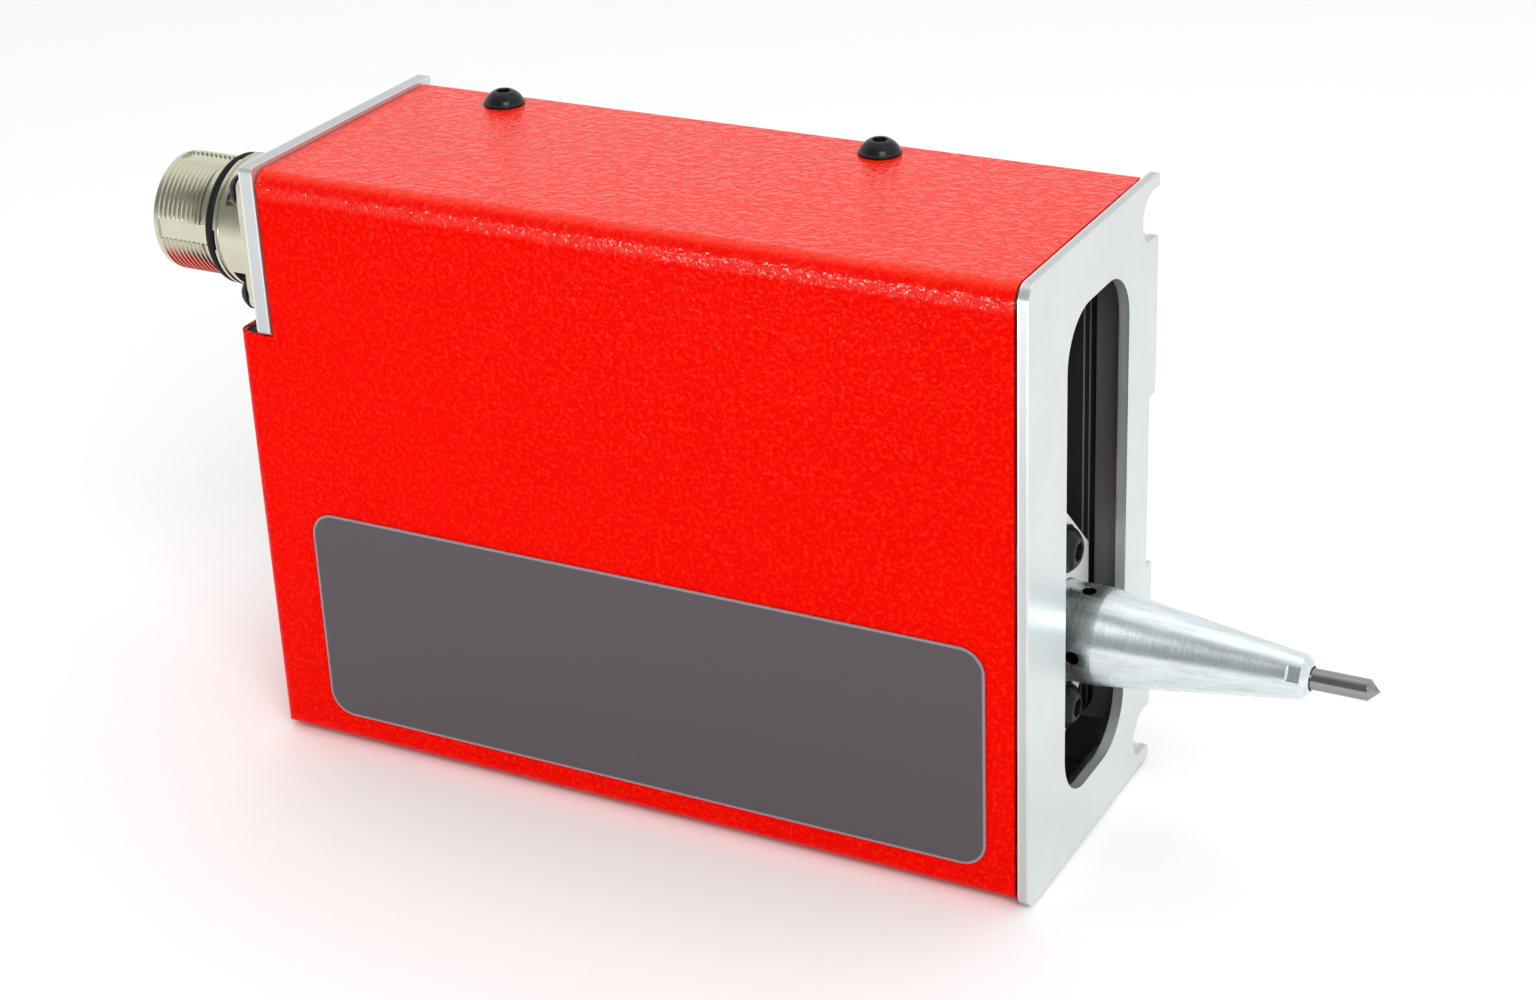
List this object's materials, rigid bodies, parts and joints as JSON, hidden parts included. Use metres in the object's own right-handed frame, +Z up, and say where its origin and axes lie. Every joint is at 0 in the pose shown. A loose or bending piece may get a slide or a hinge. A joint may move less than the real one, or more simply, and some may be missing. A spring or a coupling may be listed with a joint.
{
  "type": "dot-marking head",
  "caption": "Compact dot-marking head: red boxed unit with a front window, a conical nozzle whose pointed stylus strikes forward, and a round rear connector.",
  "frame": {"origin": "middle of the whole part's bounding box in X and Y, at its lowest face", "axes": "+X forward along the nozzle, +Y away from the labelled side to the mounting side, +Z up"},
  "size_m": [0.235, 0.06, 0.1223],
  "materials": {
    "aluminium": "satin, machined",
    "turned_aluminium": "bright, turned",
    "red_paint": "semi-gloss, fine orange-peel texture",
    "dark_panel": "matt",
    "black_steel": "blackened",
    "nickel": "bright",
    "rubber": "matt",
    "black_plastic": "matt",
    "steel": "ground",
    "board_green": "satin",
    "brass": "machined",
    "copper": "enamelled wire",
    "carbide": "ground"
  },
  "bodies": {
    "housing": {"base_plate": "aluminium", "front_plate": "aluminium", "rear_plate": "aluminium", "cover": "red_paint", "name_panel": "dark_panel", "crossbar_bottom": "aluminium", "crossbar_top": "aluminium", "cover_screw_top_front": "black_steel", "cover_screw_top_rear": "black_steel", "cover_screw_bottom_front": "black_steel", "cover_screw_bottom_rear": "black_steel", "rear_plate_screw_lower": "black_steel", "rear_plate_screw_upper": "black_steel", "connector_shell": "nickel", "connector_seal": "rubber", "connector_insert": "black_plastic", "connector_screw_1": "black_steel", "connector_screw_2": "black_steel", "connector_screw_3": "black_steel", "connector_screw_4": "black_steel", "z_rail": "steel", "z_bearing_block": "aluminium", "z_bearing_top": "steel", "z_bearing_bottom": "steel", "drive_plate": "aluminium", "z_motor": "black_steel", "drive_belt": "rubber", "z_home_sensor": "black_plastic", "interface_board": "board_green", "board_spacer_1": "brass", "board_spacer_2": "brass", "board_spacer_3": "brass", "board_spacer_4": "brass"},
    "z_slide": {"z_slide_bracket": "aluminium", "z_nut": "brass", "z_carriage": "steel", "z_home_flag": "steel", "y_rail": "steel", "y_motor": "black_steel", "y_home_switch": "black_plastic"},
    "y_slide": {"y_slide_plate": "aluminium", "y_nut": "brass", "y_carriage": "steel", "head_block": "aluminium", "flange_plate": "aluminium", "flange_screw_lower": "black_steel", "flange_screw_upper": "black_steel", "nozzle": "turned_aluminium", "guide_bush": "brass", "pole_ring": "steel", "coil_bobbin": "black_plastic", "coil_winding": "copper", "return_spring": "steel"},
    "striker": {"plunger": "steel", "stylus": "carbide"},
    "y_spindle": {"y_screw": "steel"},
    "z_spindle": {"z_screw": "steel", "z_screw_pulley": "aluminium"},
    "z_motor_rotor": {"z_motor_shaft": "steel", "z_motor_pulley": "aluminium"}
  },
  "joints": [
    {"name": "z_travel", "type": "slide", "parent": "housing", "child": "z_slide", "axis": [0, 0, 1], "range_m": [-0.01, 0.053]},
    {"name": "y_travel", "type": "slide", "parent": "z_slide", "child": "y_slide", "axis": [0, 1, 0], "range_m": [-0.009, 0.001]},
    {"name": "strike", "type": "slide", "parent": "y_slide", "child": "striker", "axis": [1, 0, 0], "range_m": [0, 0.004], "stiffness_N_per_m": 300, "springref_m": -0.002, "deforming": ["return_spring"]},
    {"name": "z_screw_turn", "type": "hinge", "parent": "housing", "child": "z_spindle", "pos_m": [-0.0325, 0.006, 0.06], "axis": [0, 0, 1], "continuous": true},
    {"name": "z_motor_turn", "type": "hinge", "parent": "housing", "child": "z_motor_rotor", "pos_m": [-0.0645, 0.006, 0.01], "axis": [0, 0, 1], "continuous": true},
    {"name": "y_screw_turn", "type": "hinge", "parent": "z_slide", "child": "y_spindle", "pos_m": [-0.0108, 0.002, 0.0235], "axis": [0, 1, 0], "continuous": true}
  ],
  "couplings": [
    {"joint": "z_screw_turn", "follows": "z_travel", "rad_per_m": 628.32},
    {"joint": "z_motor_turn", "follows": "z_travel", "rad_per_m": 628.32},
    {"joint": "y_screw_turn", "follows": "y_travel", "rad_per_m": 1256.6}
  ]
}
